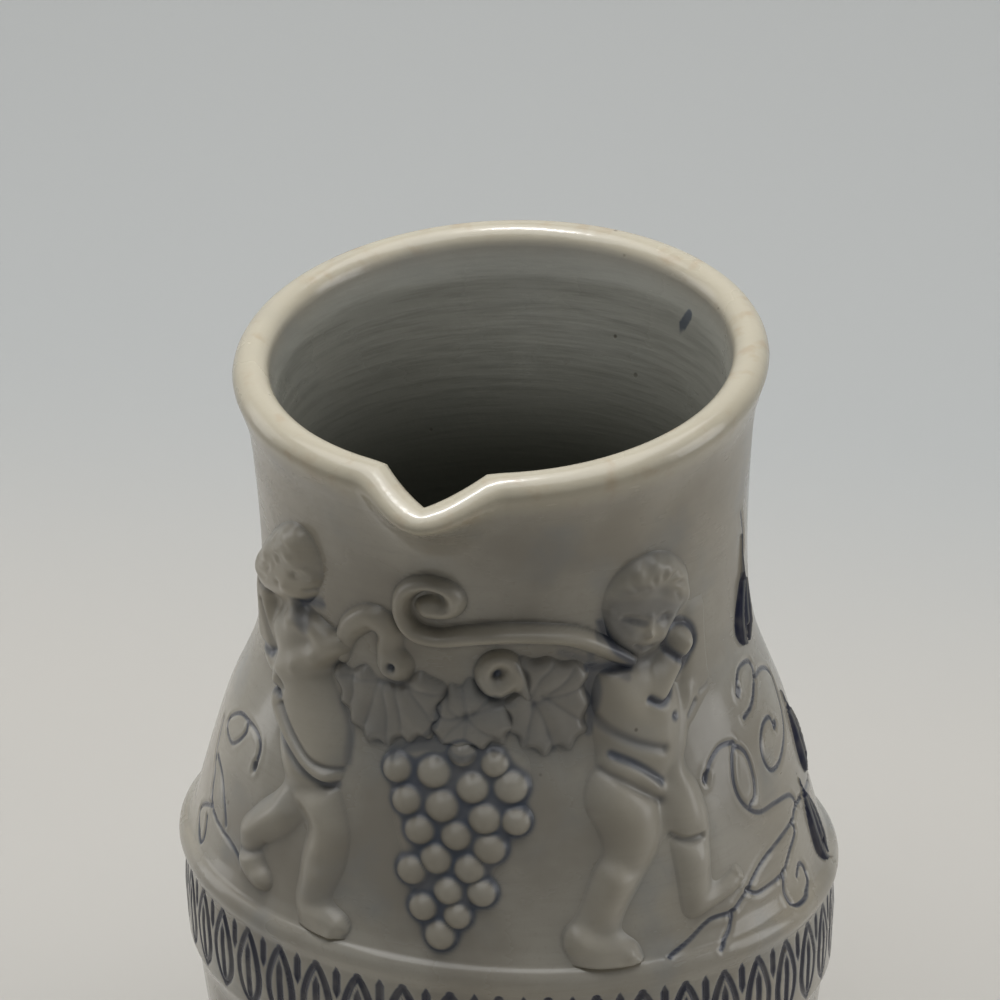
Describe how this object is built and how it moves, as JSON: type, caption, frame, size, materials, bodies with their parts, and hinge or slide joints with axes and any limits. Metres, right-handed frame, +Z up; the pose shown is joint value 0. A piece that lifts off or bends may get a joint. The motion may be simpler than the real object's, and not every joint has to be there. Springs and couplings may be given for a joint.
{
  "type": "stoneware creamer",
  "caption": "Small salt-glazed stoneware jug with a pinched pouring lip, strap handle, raised bead and band, and applied relief of putti carrying grapes.",
  "frame": {"origin": "centre of the flat base, on the surface that the jug stands on", "axes": "+Z up, -Y towards the pouring lip, +Y towards the handle"},
  "size_m": [0.0798, 0.0963, 0.1096],
  "materials": {
    "grey_stoneware": "glossy salt glaze over warm grey stoneware, faint orange peel, tan on the rim",
    "relief_stoneware": "glossy salt glaze, blue-grey wash in the hollows",
    "cobalt_relief": "cobalt blue under a glossy salt glaze, pale veins"
  },
  "bodies": {
    "root": {"body": "grey_stoneware", "handle": "grey_stoneware", "grape_bunch": "relief_stoneware", "left_putto": "relief_stoneware", "right_putto": "relief_stoneware", "carrying_pole": "relief_stoneware", "left_bud": "relief_stoneware", "right_bud": "relief_stoneware", "left_vine_leaf": "relief_stoneware", "centre_vine_leaf": "relief_stoneware", "right_vine_leaf": "relief_stoneware", "right_upper_leaf": "cobalt_relief", "left_upper_leaf": "cobalt_relief", "right_middle_leaf": "cobalt_relief", "left_middle_leaf": "cobalt_relief", "right_lower_leaf": "cobalt_relief", "left_lower_leaf": "cobalt_relief"}
  },
  "joints": []
}
